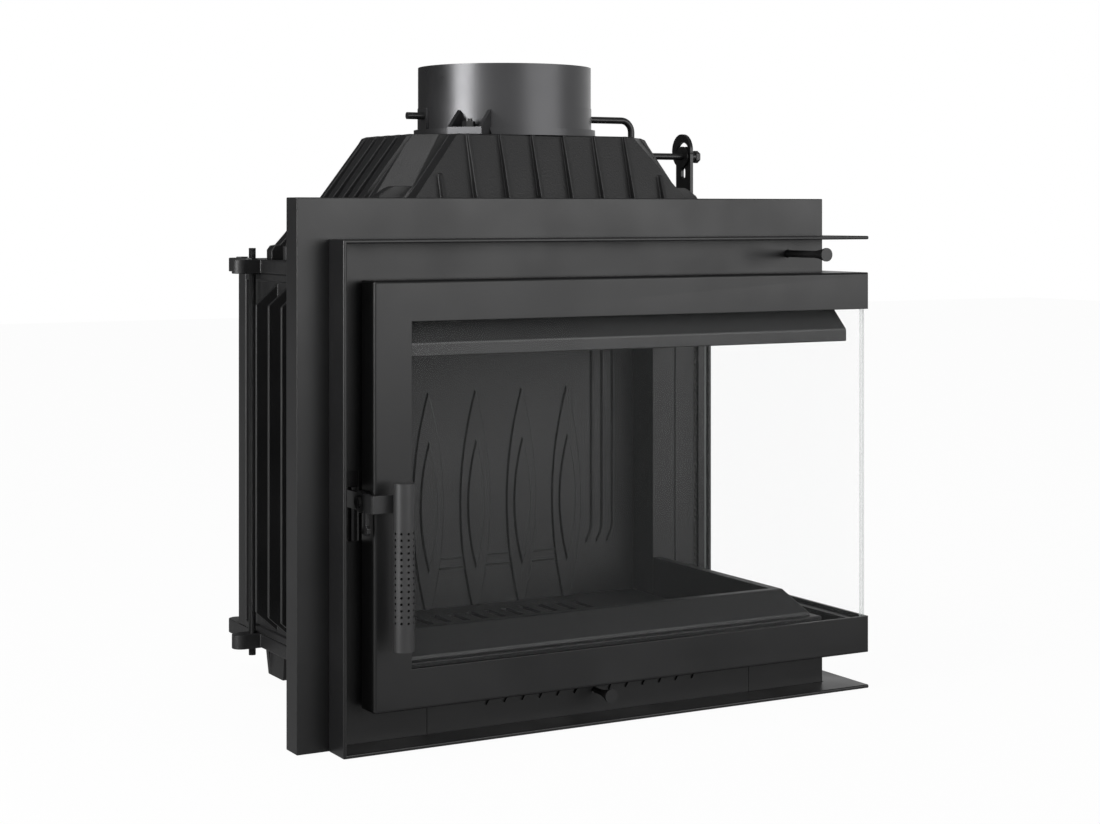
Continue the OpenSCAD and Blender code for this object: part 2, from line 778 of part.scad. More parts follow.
// Log retainer: sloping fence along the front and the glazed side
retain_d = 38;
retain_lip_z = 79;
retain_lip = 10;
retain_z = 82.5;
retain_top = 108;
retain_top_d = 70;
retain_back = 81.5;
retain_t = 5;
module log_retainer() {
    color(cast_tone) place() {
        lip = retain_d + retain_lip;
        foot_d = seat_back - gap;
        mitred_strip([[retain_d, open_z0], [retain_d, retain_lip_z], [lip, retain_lip_z],
            [lip, retain_z], [retain_top_d, retain_top], [retain_back, retain_top],
            [retain_back, base_z1], [retain_back - retain_t, base_z1],
            [retain_back - retain_t, retain_top - retain_t],
            [retain_top_d + retain_t / 2, retain_top - retain_t],
            [lip + retain_t, retain_z - retain_t / 2], [lip + retain_t, retain_lip_z - retain_t],
            [foot_d, retain_lip_z - retain_t], [foot_d, open_z0]],
            -wall_in, open_y1);
    }
}

// Grate: slotted plate let into the base plate
grate_slots = 13;
grate_slot_pitch = 24;
grate_slot_w = 9;
grate_bar = 14;
module grate() {
    slot_l = (grate_y1 - grate_y0 - 3 * grate_bar) / 2;
    color(cast_tone) place() difference() {
        translate([-grate_half, grate_y0, base_z1 - wall_t])
            cube([2 * grate_half, grate_y1 - grate_y0, grate_t]);
        for (i = [0 : grate_slots - 1], row = [0, 1])
            translate([(i - (grate_slots - 1) / 2) * grate_slot_pitch - grate_slot_w / 2,
                grate_y0 + grate_bar + row * (slot_l + grate_bar), base_z1 - wall_t - over])
                cube([grate_slot_w, slot_l, grate_t + 2 * over]);
    }
}

// Ash box: welded walls with the air openings in front, and the floor under them
box_half = 175;
box_y0 = 110;
box_y1 = 362;
box_z0 = 8;
sheet_t = 3;
valve_half = 60;
port_half = 50;
port_z0 = 19;
port_z1 = 37;
inlet_r = 50;
inlet_y = flue_y;
module ash_box() {
    color(steel_tone) place() difference() {
        translate([-box_half, box_y0, box_z0 + sheet_t])
            cube([2 * box_half, box_y1 - box_y0, base_z0 - box_z0 - sheet_t]);
        translate([-box_half + sheet_t, box_y0 + sheet_t, box_z0])
            cube([2 * (box_half - sheet_t), box_y1 - box_y0 - 2 * sheet_t, base_z0]);
        for (side = [-1, 1])
            translate([side > 0 ? 2 * air_rod_r : -port_half, box_y0 - over, port_z0])
                cube([port_half - 2 * air_rod_r, sheet_t + 2 * over, port_z1 - port_z0]);
    }
}
module ash_box_floor() {
    color(steel_tone) place() difference() {
        translate([-box_half, box_y0, box_z0]) cube([2 * box_half, box_y1 - box_y0, sheet_t]);
        translate([0, inlet_y, box_z0 - over]) cylinder(r = inlet_r, h = sheet_t + 2 * over);
    }
}
pan_half = 148;
pan_y0 = 142;
pan_y1 = 338;
pan_z0 = 16;
pan_z1 = 50;
module ash_pan() {
    color(steel_tone) place() difference() {
        translate([-pan_half, pan_y0, pan_z0]) cube([2 * pan_half, pan_y1 - pan_y0, pan_z1 - pan_z0]);
        translate([-pan_half + sheet_t / 2, pan_y0 + sheet_t / 2, pan_z0 + sheet_t / 2])
            cube([2 * pan_half - sheet_t, pan_y1 - pan_y0 - sheet_t, pan_z1 - pan_z0]);
        }
    // runners that carry the pan above the air inlet
    color(steel_tone) place() for (x = [-pan_half + 2 * sheet_t, pan_half - 5 * sheet_t])
        translate([x, pan_y0, box_z0 + sheet_t])
            cube([3 * sheet_t, pan_y1 - pan_y0, pan_z0 - box_z0 - sheet_t]);
}
inlet_h = box_z0 + sheet_t;
module air_inlet() {
    color(steel_tone) place() translate([0, inlet_y, 0]) difference() {
        cylinder(r = inlet_r, h = inlet_h);
        translate([0, 0, -over]) cylinder(r = inlet_r - sheet_t, h = inlet_h + 2 * over);
    }
}

guide_y = 62;
guide_w = 24;
module air_rod_guide() {
    color(steel_tone) place() difference() {
        translate([-guide_w / 2, guide_y, air_z - guide_w / 2])
            cube([guide_w, sheet_t, base_z0 - air_z + guide_w / 2]);
        rod_y(air_rod_r + fit, guide_y - over, guide_y + sheet_t + over, 0, air_z);
    }
}
pull_guide_y = 105;
module pull_rod_guide() {
    color(steel_tone) place() difference() {
        union() {
            translate([pull_x - guide_w / 2, pull_guide_y, top_z1])
                cube([guide_w, sheet_t, pull_z - top_z1 + guide_w / 2]);
            translate([pull_x - guide_w / 2, pull_guide_y, top_z1])
                cube([guide_w, guide_w, sheet_t / 2]);
        }
        rod_y(pull_rod_r + fit, pull_guide_y - over, pull_guide_y + sheet_t + over, pull_x, pull_z);
    }
}

// Catch behind the cover frame, which the latch hook closes on
catch_y1 = 57;
catch_above = 2;
catch_z0 = latch_z + arm_h / 2 + catch_above;
catch_h = 14;
catch_side = 10;
module latch_catch() {
    color(steel_tone) place() {
        translate([latch_x1 - latch_t - catch_side, cover_back, catch_z0])
            cube([latch_t + 2 * catch_side, catch_y1 - cover_back, catch_h]);
        translate([latch_x1 - latch_t - catch_side, cover_back, catch_z0 + catch_h])
            cube([latch_t + 2 * catch_side, sheet_t, 2 * catch_h]);
    }
}

// Hinge: brackets on the cover frame, pins, and knuckles on the door
module hinge_brackets() {
    color(steel_tone) place() for (z = [hinge_low_z, hinge_high_z]) difference() {
        union() {
            translate([hinge_x, hinge_y, z - knuckle_h]) cylinder(r = hinge_r, h = knuckle_h);
            translate([x_right - trim_reach, hinge_y - hinge_r, z - knuckle_h])
                cube([hinge_x - x_right + trim_reach, 2 * hinge_r, knuckle_h]);
        }
        translate([hinge_x, hinge_y, z - knuckle_h - over])
            cylinder(r = pin_r, h = knuckle_h + 2 * over);
    }
}
module hinge_pins() {
    color(steel_tone) place() for (z = [hinge_low_z, hinge_high_z])
        translate([hinge_x, hinge_y, z - knuckle_h]) cylinder(r = pin_r, h = 2 * knuckle_h);
}
module hinge_knuckles() {
    color(steel_tone) place() for (z = [hinge_low_z, hinge_high_z]) difference() {
        union() {
            translate([hinge_x, hinge_y, z + gap]) cylinder(r = hinge_r, h = knuckle_h - gap);
            translate([hinge_x - hinge_r / 2, door_y1, z + gap])
                cube([hinge_r * 1.4, hinge_y - door_y1, knuckle_h - gap]);
        }
        translate([hinge_x, hinge_y, z]) cylinder(r = pin_r + fit, h = knuckle_h + over);
    }
}

// Door frame: face sheet with folded edges and the channel that holds the seal
module door_frame() {
    color(frame_tone) place() difference() {
        union() {
            corner_band(0, door_t, door_x0, door_y1, door_z0, door_z1);
            corner_band(0, door_d, door_x0, door_y1 - door_d + inner_d, door_z0, door_z0 + door_t);
            corner_band(0, door_d, door_x0, door_y1 - door_d + inner_d, door_z1 - door_t, door_z1);
            translate([door_x0, 0, door_z0]) cube([door_t, door_d, door_h]);
            translate([x_right - inner_d, door_y1 - door_t, door_z0])
                cube([inner_d, door_t, door_h]);
            // outer and inner wall of the seal channel
            corner_ring(door_t, inner_d, seat_x0 - gap - channel_t, seat_y1 + gap + channel_t,
                seat_z0 - gap - channel_t, seat_z1 + gap + channel_t, channel_t);
            corner_ring(door_t, inner_d, open_x0 + gap, open_y1 - gap, open_z0 + gap,
                open_z1 - gap, channel_t);
        }
        corner_band(-over, door_t + over, win_x0, win_y1, win_z0, win_z1);
    }
}
module front_glass() {
    color(glass_tone) place()
        translate([win_x0 - glass_lap, door_t, win_z0 - glass_lap])
            cube([x_right - door_t - win_x0 + glass_lap, glass_t,
                win_z1 - win_z0 + 2 * glass_lap]);
}
module side_glass() {
    color(glass_tone) place()
        translate([x_right - glass_d1, glass_d1, win_z0 - glass_lap])
            cube([glass_t, win_y1 + back_lap - glass_d1, win_z1 - win_z0 + 2 * glass_lap]);
}
// Retainer: folded frame that holds the panes against the face sheet
retain_lap = 4;
retain_back_lap = 3;
module glass_retainer() {
    x0 = open_x0 + gap + channel_t;
    y1 = open_y1 - gap - channel_t;
    z0 = open_z0 + gap + channel_t;
    z1 = open_z1 - gap - channel_t;
    color(frame_tone) place() difference() {
        union() {
            corner_band(inner_d - channel_t, inner_d, x0, y1, z0, z1);
            corner_band(glass_d1, inner_d, win_x0 - retain_lap - channel_t,
                win_y1 + retain_back_lap + channel_t, win_z0 - retain_lap - channel_t,
                win_z1 + retain_lap + channel_t);
        }
        corner_band(glass_d1 - over, inner_d + over, win_x0 - retain_lap, win_y1 + retain_back_lap,
            win_z0 - retain_lap, win_z1 + retain_lap);
    }
}
seal_d0 = 10;
module door_seal() {
    color(seal_tone) place()
        corner_ring(seal_d0, seat_d - gap, seat_x0, seat_y1, seat_z0, seat_z1, seat_w);
}

// Latch: boss and pin on the door edge, hook plate, strap and perforated grip
latch_boss_r = 9;
module latch_boss() {
    color(frame_tone) place() difference() {
        rod_x(latch_boss_r, latch_x1 + gap, door_x0, latch_y, latch_z);
        rod_x(pin_r, latch_x1 - over, door_x0 + over, latch_y, latch_z);
    }
}
module latch_pin() {
    color(steel_tone) place() {
        rod_x(pin_r, latch_x1 - latch_t - gap, door_x0, latch_y, latch_z);
        rod_x(1.6 * pin_r, latch_x1 - latch_t - gap - sheet_t, latch_x1 - latch_t - gap,
            latch_y, latch_z);
    }
}
hook_y0 = catch_y1 + gap;
hook_w = 6;
hook_up = 8;
hub_share = 0.62;
hook_cut = 2;
tail_near = 9;
tail_far = 15;
tail_root = 5;
tail_neck = 23;
neck_far = 22;
ball_near = 5.5;
ball_far = 18.5;
ball_top = 26;
ball_brow = 25;
ball_low = 31;
ball_bend = 30;
heel_near = 8;
heel_far = 16;
tail_end = 32.5;
module hook_plate() {
    translate([latch_x1 - latch_t, 0, 0]) rotate([90, 0, 90]) linear_extrude(latch_t) children();
}
module latch_hook() {
    color(steel_tone) place() difference() {
        union() {
            translate([latch_x1 - latch_t, strap_y + latch_t, latch_z - arm_h / 2])
                cube([latch_t, hook_y0 - strap_y - latch_t, arm_h]);
            rod_x(arm_h * hub_share, latch_x1 - latch_t, latch_x1, latch_y, latch_z);
            hook_plate() polygon([[hook_y0 - over, latch_z - arm_h / 2 + over],
                [hook_y0, latch_z - arm_h / 2 + over], [hook_y0 + hook_w, latch_z],
                [hook_y0 + hook_w, catch_z0 + hook_up - hook_cut], [hook_y0 + hook_cut, catch_z0 + hook_up],
                [hook_y0, catch_z0 + hook_up], [hook_y0, latch_z], [hook_y0 - over, latch_z]]);
            // tail below the arm, with a rounded foot
            translate([0, latch_y, latch_z]) hook_plate() polygon([[-tail_far, -tail_root],
                [-tail_near, -tail_root], [-tail_near, -tail_neck], [-ball_near, -ball_top],
                [-ball_near, -ball_low], [-heel_near, -tail_end], [-heel_far, -tail_end],
                [-ball_far, -ball_bend], [-ball_far, -ball_brow], [-tail_far, -neck_far]]);
        }
        rod_x(pin_r + fit, latch_x1 - latch_t - over, latch_x1 + over, latch_y, latch_z);
    }
}
module handle_strap() {
    color(steel_tone) place() translate([latch_x1 - latch_t, strap_y, latch_z - arm_h / 2])
        cube([grip_x - latch_x1 + latch_t, latch_t, arm_h]);
}
grip_wall = 2;
hole_rows = 15;
hole_pitch = 6.3;
hole_low = 28.8;
hole_turn = 40;
hole_r = 1.3;
module handle_grip() {
    color(grip_tone) place() translate([grip_x, grip_y, grip_z1 - grip_l]) difference() {
        cylinder(d = grip_d, h = grip_l);
        translate([0, 0, -over]) cylinder(d = grip_d - 2 * grip_wall, h = grip_l + 2 * over);
        for (row = [0 : hole_rows - 1], turn = [0 : hole_turn : 360 - hole_turn])
            translate([0, 0, hole_low + row * hole_pitch]) rotate([90, 0, turn])
                translate([0, 0, grip_d / 2 - 2 * grip_wall])
                    cylinder(r = hole_r, h = 3 * grip_wall, $fn = 16);
    }
}
cap_t = 5;
module grip_caps() {
    color(steel_tone) place() translate([grip_x, grip_y, grip_z1 - grip_l])
        for (z = [0, grip_l - cap_t]) translate([0, 0, z])
            cylinder(d = grip_d - 2 * grip_wall, h = cap_t);
}

// Damper: plate in the flue, cranked shaft, washer and nut at the crank pin
plate_r = 92;
plate_half_w = 70;
damper_tilt = 45;
damper_plate_t = 3;
crank_x = 172;
bend_r = 14;
shaft_out = 25;
shaft_end = flue_r + shaft_out;
bracket_t = 4;
bracket_x1 = pull_x - pull_rod_r;
bracket_x0 = bracket_x1 - bracket_t;
module damper_plate() {
    color(steel_tone) place() translate([0, flue_y, damper_z]) rotate([damper_tilt, 0, 0]) difference() {
        intersection() {
            translate([0, 0, damper_rod / 2]) cylinder(r = plate_r, h = damper_plate_t);
            translate([-plate_r, -plate_half_w, 0])
                cube([2 * plate_r, 2 * plate_half_w, damper_rod]);
        }
    }
}
damper_screw_x = 50;
module damper_screws() {
    color(steel_tone) place() translate([0, flue_y, damper_z]) rotate([damper_tilt, 0, 0])
        for (side = [-1, 1])
            translate([side * damper_screw_x, 0, damper_rod / 2 + damper_plate_t])
                cylinder(d = damper_rod, h = damper_plate_t, $fn = fine_fn);
}
module elbow(r, rod_r) {
    rotate_extrude(angle = 90, $fn = 64) translate([r, 0]) circle(r = rod_r, $fn = 32);
}
crank_out = 14;
crank_end = pull_x + crank_out;
module damper_shaft() {
    r = damper_rod / 2;
    color(steel_tone) place() translate([0, flue_y, 0]) {
        rod_x(r, -shaft_end, crank_x - bend_r, 0, damper_z);
        translate([crank_x - bend_r, 0, damper_z - bend_r]) rotate([90, 0, 0])
            elbow(bend_r, r);
        translate([crank_x, 0, damper_z - crank_r + bend_r])
            cylinder(r = r, h = crank_r - 2 * bend_r);
        translate([crank_x + bend_r, 0, damper_z - crank_r + bend_r]) rotate([90, 180, 0])
            elbow(bend_r, r);
        rod_x(r, crank_x + bend_r, crank_end, 0, damper_z - crank_r);
    }
}
washer_r = 12.4;
washer_t = 2;
sleeve_l = 9;
sleeve_r = 6;
module crank_washer() {
    color(steel_tone) place() translate([0, flue_y, 0])
        for (x = [bracket_x0 - gap - washer_t, bracket_x1 + gap]) difference() {
            rod_x(washer_r, x, x + washer_t, 0, damper_z - crank_r);
            rod_x(damper_rod / 2, x - over, x + washer_t + over, 0, damper_z - crank_r);
        }
}
crank_nut_h = 5.5;
module crank_nut() {
    // hex nut on a sleeve that sets its distance
    color(steel_tone) place() translate([bracket_x1 + gap + washer_t, flue_y, damper_z - crank_r])
        rotate([0, 90, 0]) {
            difference() {
                cylinder(r = sleeve_r, h = sleeve_l);
                translate([0, 0, -over]) cylinder(r = damper_rod / 2, h = sleeve_l + 2 * over);
            }
            translate([0, 0, sleeve_l]) hex_nut(nut_af, crank_nut_h, damper_rod / 2);
        }
}

// Slotted bracket on the pull rod, which drives the crank pin
eye_up = 3;
eye_r = 14.5;
eye_back = 1.5;
head_r = 20.5;
head_back = 4.5;
head_up = 7;
bracket_half = 16;
bracket_clear = 2;
bracket_foot = top_z1 + bracket_clear;
slot_half = 4.5;
slot_l = 5;
slot_web = 1.5;
slot_foot = damper_z - crank_r + eye_up - eye_r - slot_half - slot_l - slot_web;
foot_y = flue_y + bracket_half;
module pull_bracket() {
    color(steel_tone) place() difference() {
        union() {
            rod_x(head_r, bracket_x0, bracket_x1, flue_y + head_back,
                damper_z - crank_r + head_up);
            translate([bracket_x0, flue_y - bracket_half, bracket_foot])
                cube([bracket_t, 2 * bracket_half, damper_z - crank_r + eye_up - bracket_foot]);
            translate([bracket_x0, foot_y - bracket_t, bracket_foot])
                cube([2 * pull_rod_r + 2 * bracket_t, bracket_t, 2 * (pull_z - bracket_foot)]);
        }
        rod_x(eye_r, bracket_x0 - over, bracket_x1 + over, flue_y + eye_back,
            damper_z - crank_r + eye_up);
        for (z = [0, slot_l]) rod_x(slot_half, bracket_x0 - over, bracket_x1 + over, flue_y,
            slot_foot + z);
        translate([bracket_x0 - over, flue_y - slot_half, slot_foot])
            cube([bracket_t + 2 * over, 2 * slot_half, slot_l]);
        rod_y(pull_rod_r, foot_y - bracket_t - over, foot_y + over, pull_x, pull_z);
    }
}
module pull_rod() {
    color(steel_tone) place() rod_y(pull_rod_r, pull_front + knob_l, pull_front + pull_len, pull_x, pull_z);
}
pull_nut_h = 4.5;
pull_nut_af = 10;
module pull_rod_nut() {
    color(steel_tone) place() translate([pull_x, foot_y + pull_nut_h, pull_z]) rotate([90, 0, 0])
        hex_nut(pull_nut_af, pull_nut_h, pull_rod_r);
}
module pull_knob() {
    color(frame_tone) place() translate([pull_x, pull_front + knob_l, pull_z])
        knob(knob_d / 2, pull_rod_r, knob_l);
}

// Air control: valve plate on a pull rod
valve_t = 3;
valve_below = 5;
valve_above = 3;
module air_valve() {
    color(steel_tone) place() translate([-valve_half, box_y0 - gap - valve_t, port_z0 - valve_below])
        cube([2 * valve_half, valve_t, port_z1 - port_z0 + valve_below + valve_above]);
}
module air_rod() {
    color(steel_tone) place() rod_y(air_rod_r, air_front + knob_l, box_y0 - gap - valve_t, 0, air_z);
}
module air_knob() {
    color(frame_tone) place() translate([0, air_front + knob_l, air_z]) knob(knob_d / 2, air_rod_r, knob_l);
}

cover_frame();
trim_frame();
lower_panel();
front_casting();
base_plate();
left_wall();
back_wall();
rear_column();
top_plate();
legs();
tie_rods();
tie_rod_nuts();
smoke_dome();
dome_bolts();
flue_spigot();
flue_bolts();
smoke_baffle();
baffle_ledges();
glass_wash_strip();
log_retainer();
grate();
ash_box();
ash_box_floor();
ash_pan();
air_inlet();
air_rod_guide();
pull_rod_guide();
latch_catch();
hinge_brackets();
hinge_pins();
door_frame();
front_glass();
side_glass();
glass_retainer();
door_seal();
hinge_knuckles();
latch_boss();
latch_pin();
latch_hook();
handle_strap();
handle_grip();
grip_caps();
damper_plate();
damper_shaft();
damper_screws();
crank_washer();
crank_nut();
pull_bracket();
pull_rod();
pull_rod_nut();
pull_knob();
air_valve();
air_rod();
air_knob();
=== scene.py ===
# %% [markdown]
# # A fireplace insert with a glazed corner
# The insert is a box of iron castings with a sheet-steel front. Every solid of it is already
# drawn and comes in with the frame. This notebook gives each piece its finish, softens the
# edges that a foundry or a press never leaves sharp, and adds the small things that only
# show from close by: the braided door rope, threads and glass edges.
# We begin by loading the frame.

# %% Load the frame
import json
import math
import bmesh
import bpy
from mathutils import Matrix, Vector


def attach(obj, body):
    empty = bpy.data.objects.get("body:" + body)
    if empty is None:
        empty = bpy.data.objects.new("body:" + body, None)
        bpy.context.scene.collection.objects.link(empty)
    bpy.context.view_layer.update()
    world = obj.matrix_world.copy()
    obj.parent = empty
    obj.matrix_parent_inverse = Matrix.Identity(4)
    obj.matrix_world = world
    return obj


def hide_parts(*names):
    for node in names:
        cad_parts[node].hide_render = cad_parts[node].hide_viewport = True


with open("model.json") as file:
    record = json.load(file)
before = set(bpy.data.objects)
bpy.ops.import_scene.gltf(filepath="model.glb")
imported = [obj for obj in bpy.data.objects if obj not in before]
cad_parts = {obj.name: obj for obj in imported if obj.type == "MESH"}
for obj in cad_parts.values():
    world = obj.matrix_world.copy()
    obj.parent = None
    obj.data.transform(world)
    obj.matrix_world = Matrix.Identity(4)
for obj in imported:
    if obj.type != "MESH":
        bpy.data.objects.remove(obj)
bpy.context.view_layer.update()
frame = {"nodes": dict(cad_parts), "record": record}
nodes = frame["nodes"]
body_of = {n: b for b, names in frame["record"]["behaviour"]["bodies"].items() for n in names}
slot_of = {s["node"]: s["material_slot"] for s in frame["record"]["subparts"]}
scene = bpy.context.scene
scene.view_settings.view_transform = "Standard"


# %% [markdown]
# ## The camera
# A straight-on product shot keeps upright edges upright. That needs a level camera, so the
# view is lowered with the lens shift instead of by tilting. The lens is a short telephoto,
# which is what such pictures are usually taken with.

# %% Camera
level_pitch = math.radians(90)
turn_to_the_right = math.radians(29.3465)
camera_data = bpy.data.cameras.new("front_left_camera")
camera_data.sensor_width = 36.0
camera_data.lens = 69.862
camera_data.shift_y = -0.18326
camera_data.clip_start = 0.05
camera = bpy.data.objects.new("front_left_camera", camera_data)
camera.location = (-1.1657, -2.1809, 0.5429)
camera.rotation_euler = (level_pitch, 0, -turn_to_the_right)
scene.collection.objects.link(camera)
scene.camera = camera
print("camera", tuple(round(v, 3) for v in camera.location))


# %% [markdown]
# ## Finishes
# Three black finishes sit side by side here, and they must not look alike. The sheet front
# has a baked satin paint with a very fine grain. The castings are rough, as sand leaves
# them. The rods are smooth mill steel under thin paint. The grip is bare grey steel. All of
# them are built by one helper: a base colour that drifts a little, a roughness that drifts
# with it, and a bump. The patterns read Object coordinates, so they have a real scale in
# metres.
# Each finish is a small tree of nodes. Four short helpers add a node, feed its inputs and
# do arithmetic, and every other tree in this notebook is built with them too.

# %% Helpers for node trees
def add_node(tree, kind, **settings):
    """A new node with its settings, such as its operation."""
    made = tree.nodes.new(kind)
    for key, value in settings.items():
        setattr(made, key, value)
    return made


def feed(tree, value, socket):
    """Links a socket, or writes a number, colour or vector."""
    if isinstance(value, bpy.types.NodeSocket):
        tree.links.new(value, socket)
    else:
        socket.default_value = value


def feed_all(tree, node, values):
    """Feeds several inputs of a node, each under its name or its number."""
    for key, value in values.items():
        feed(tree, value, node.inputs[key])
    return node


def number(tree, operation, first, second=0.0):
    """The result of one Math node."""
    made = add_node(tree, "ShaderNodeMath", operation=operation)
    feed_all(tree, made, {0: first, 1: second})
    return made.outputs[0]


print("node helpers ready")


# %% Helper for painted and cast metal
cloud_scale = 14.0          # drifts of colour and roughness, per metre
cloud_detail = 5.0
cloud_middle = (0.3, 0.7)   # the noise stays mostly between these
roughness_drift = 0.05
grain_detail = 3.0
grain_strength = 0.6


def metal_finish(name, colour, roughness, grain_size, grain_depth, drift, metallic=0.0):
    """Black or grey metal: colour, roughness, grain size and depth in metres, drift 0-1."""
    material = bpy.data.materials.new(name)
    material.use_nodes = True
    tree = material.node_tree
    where = add_node(tree, "ShaderNodeTexCoord").outputs["Object"]
    cloud = feed_all(tree, add_node(tree, "ShaderNodeTexNoise"), {
        "Vector": where, "Scale": cloud_scale, "Detail": cloud_detail})
    tint = feed_all(tree, add_node(tree, "ShaderNodeMix", data_type="RGBA"), {
        "Factor": cloud.outputs["Fac"],
        "A": [c * (1 - drift) for c in colour] + [1],
        "B": [c * (1 + drift) for c in colour] + [1]})
    spread = feed_all(tree, add_node(tree, "ShaderNodeMapRange"), {
        "Value": cloud.outputs["Fac"],
        "From Min": cloud_middle[0], "From Max": cloud_middle[1],
        "To Min": roughness - roughness_drift, "To Max": roughness + roughness_drift})
    grain = feed_all(tree, add_node(tree, "ShaderNodeTexNoise"), {
        "Vector": where, "Scale": 1.0 / grain_size, "Detail": grain_detail})
    bump = feed_all(tree, add_node(tree, "ShaderNodeBump"), {
        "Height": grain.outputs["Fac"], "Strength": grain_strength, "Distance": grain_depth})
    feed_all(tree, tree.nodes["Principled BSDF"], {
        "Base Color": tint.outputs["Result"], "Roughness": spread.outputs["Result"],
        "Normal": bump.outputs["Normal"], "Metallic": metallic})
    return material


print("colour drifts over about", round(1 / cloud_scale, 3), "m")


# %% Black paint, cast iron, mill steel and the grip
finishes = {
    "frame_paint": metal_finish(
        "satin_black_paint", colour=(0.008, 0.008, 0.0084), roughness=0.36,
        grain_size=0.0009, grain_depth=0.00005, drift=0.06),
    "cast_iron": metal_finish(
        "black_cast_iron", colour=(0.009, 0.009, 0.0094), roughness=0.46,
        grain_size=0.0018, grain_depth=0.0004, drift=0.20),
    "dark_steel": metal_finish(
        "black_mill_steel", colour=(0.012, 0.012, 0.0124), roughness=0.33,
        grain_size=0.0006, grain_depth=0.00003, drift=0.10),
    "grip_steel": metal_finish(
        "grey_grip_steel", colour=(0.065, 0.065, 0.066), roughness=0.38,
        grain_size=0.0007, grain_depth=0.00004, drift=0.08, metallic=0.6),
}
print("finishes:", sorted(finishes))


# %% [markdown]
# ## Flue steel
# The spigot is rolled from sheet, and the rolling leaves faint lines round it. They stretch
# the highlight into the tall bright band that tells the eye it is a tube. The lines are too
# fine to be drawn one by one, so an anisotropic highlight does the stretching.

# %% Flue steel
finishes["flue_steel"] = metal_finish(
    "flue_sheet_steel", colour=(0.056, 0.056, 0.058), roughness=0.30,
    grain_size=0.001, grain_depth=0.00003, drift=0.10, metallic=0.75)
flue_shader = finishes["flue_steel"].node_tree.nodes["Principled BSDF"]
flue_shader.inputs["Anisotropic"].default_value = 0.4
print("flue steel ready")


# %% [markdown]
# ## Threads
# The tie rods are threaded along their whole length. Real turns would take tens of thousands
# of faces for something finer than a pixel from here, so the finish carries them: a wave
# that goes up and down once in each pitch along the rod, added to the grain as a bump.

# %% Threaded steel
def threaded_steel(name, colour, pitch):
    """Rod steel with turns of thread: rings along Z, one for each pitch."""
    material = metal_finish(name, colour, roughness=0.34, grain_size=0.0006,
                            grain_depth=0.00003, drift=0.10, metallic=0.4)
    tree = material.node_tree
    height = add_node(tree, "ShaderNodeSeparateXYZ")
    feed(tree, tree.nodes["Texture Coordinate"].outputs["Object"], height.inputs[0])
    flank = number(tree, "PINGPONG", height.outputs["Z"], pitch / 2)
    turns = feed_all(tree, add_node(tree, "ShaderNodeBump"), {
        "Height": number(tree, "DIVIDE", flank, pitch / 2),
        "Strength": 1.0, "Distance": pitch / 2,
        "Normal": tree.nodes["Bump"].outputs["Normal"]})
    feed(tree, turns.outputs["Normal"], tree.nodes["Principled BSDF"].inputs["Normal"])
    return material


thread_pitch = 0.00125
rod_finish = threaded_steel("threaded_rod_steel", (0.02, 0.02, 0.0205), thread_pitch)
print("thread pitch", thread_pitch * 1000, "mm")


# %% [markdown]
# ## Glass
# The panes are clear ceramic glass. What one sees of them is hardly more than their cut
# edges, which look pale, so the faces and the edges get a material each.

# %% Glass
def clear_pane(name, colour, alpha, roughness):
    """Glass that lets most of the view through; alpha is what it keeps back."""
    material = bpy.data.materials.new(name)
    material.use_nodes = True
    feed_all(material.node_tree, material.node_tree.nodes["Principled BSDF"], {
        "Base Color": (*colour, 1), "Roughness": roughness, "Alpha": alpha})
    material.surface_render_method = "BLENDED"
    return material


finishes["ceramic_glass"] = clear_pane("clear_ceramic_glass", (0.8, 0.82, 0.82), 0.012, 0.03)
glass_edge = clear_pane("ground_glass_edge", (0.66, 0.70, 0.69), 0.5, 0.25)
print("glass ready")


# %% [markdown]
# ## Rope
# The door rope is knitted glass yarn. It is matt, greyish and slightly furry, so it gets a
# high roughness, a little sheen and a fine bump.

# %% Rope finish
finishes["rope_seal"] = metal_finish(
    "grey_glass_yarn", colour=(0.13, 0.13, 0.125), roughness=0.9,
    grain_size=0.0007, grain_depth=0.0003, drift=0.25)
yarn_shader = finishes["rope_seal"].node_tree.nodes["Principled BSDF"]
yarn_shader.inputs["Sheen Weight"].default_value = 0.3
print("rope ready")


# %% [markdown]
# ## Give every solid its finish
# Each solid names a slot in its record, and each slot has a finish. Two solids differ from
# their neighbours: the flat arm of the handle gets a lighter, more metallic steel than the
# other mill steel, and the tie rods have their threads.

# %% Assign finishes
def dress(obj, material):
    """Gives an object one material and no other."""
    obj.data.materials.clear()
    obj.data.materials.append(material)


finish_of = {name: finishes[slot_of[name]] for name in nodes}
# the handle's flat arm gets a lighter, more metallic mill steel than the other rods
finish_of["handle_strap"] = metal_finish(
    "lighter_mill_steel", colour=(0.05, 0.05, 0.051), roughness=0.34,
    grain_size=0.0006, grain_depth=0.00003, drift=0.10, metallic=0.6)
finish_of["tie_rods"] = rod_finish
for name, obj in nodes.items():
    dress(obj, finish_of[name])
print("dressed:", len(nodes))


# %% [markdown]
# ## Soft edges
# No edge on this object is truly sharp. Where sheet steel is folded, the outside of the fold
# has a radius of about the sheet's thickness; where it is cut, only the burr is gone. The
# castings are rounded all over. These thin bright lines along edges are most of what makes
# black metal readable.
# A Bevel modifier on every edge alike would miss the difference between a fold and a cut.
# So each sharp edge is measured first: if both faces beside it are wide, it is a fold; if one
# of them is as narrow as the sheet, it is a cut. The result is kept as a bevel weight.
# The solids come as plain triangles. On sheet pieces the flat faces are made whole first, and
# Blender's own limit keeps the bevels from crossing: it makes all of a piece's bevels as
# small as the tightest place needs. That would spoil a casting with its many short edges, so
# there the triangles stay, and each edge is limited by the room beside it alone.

# %% Helpers for meshes
flat_angle = math.radians(0.6)


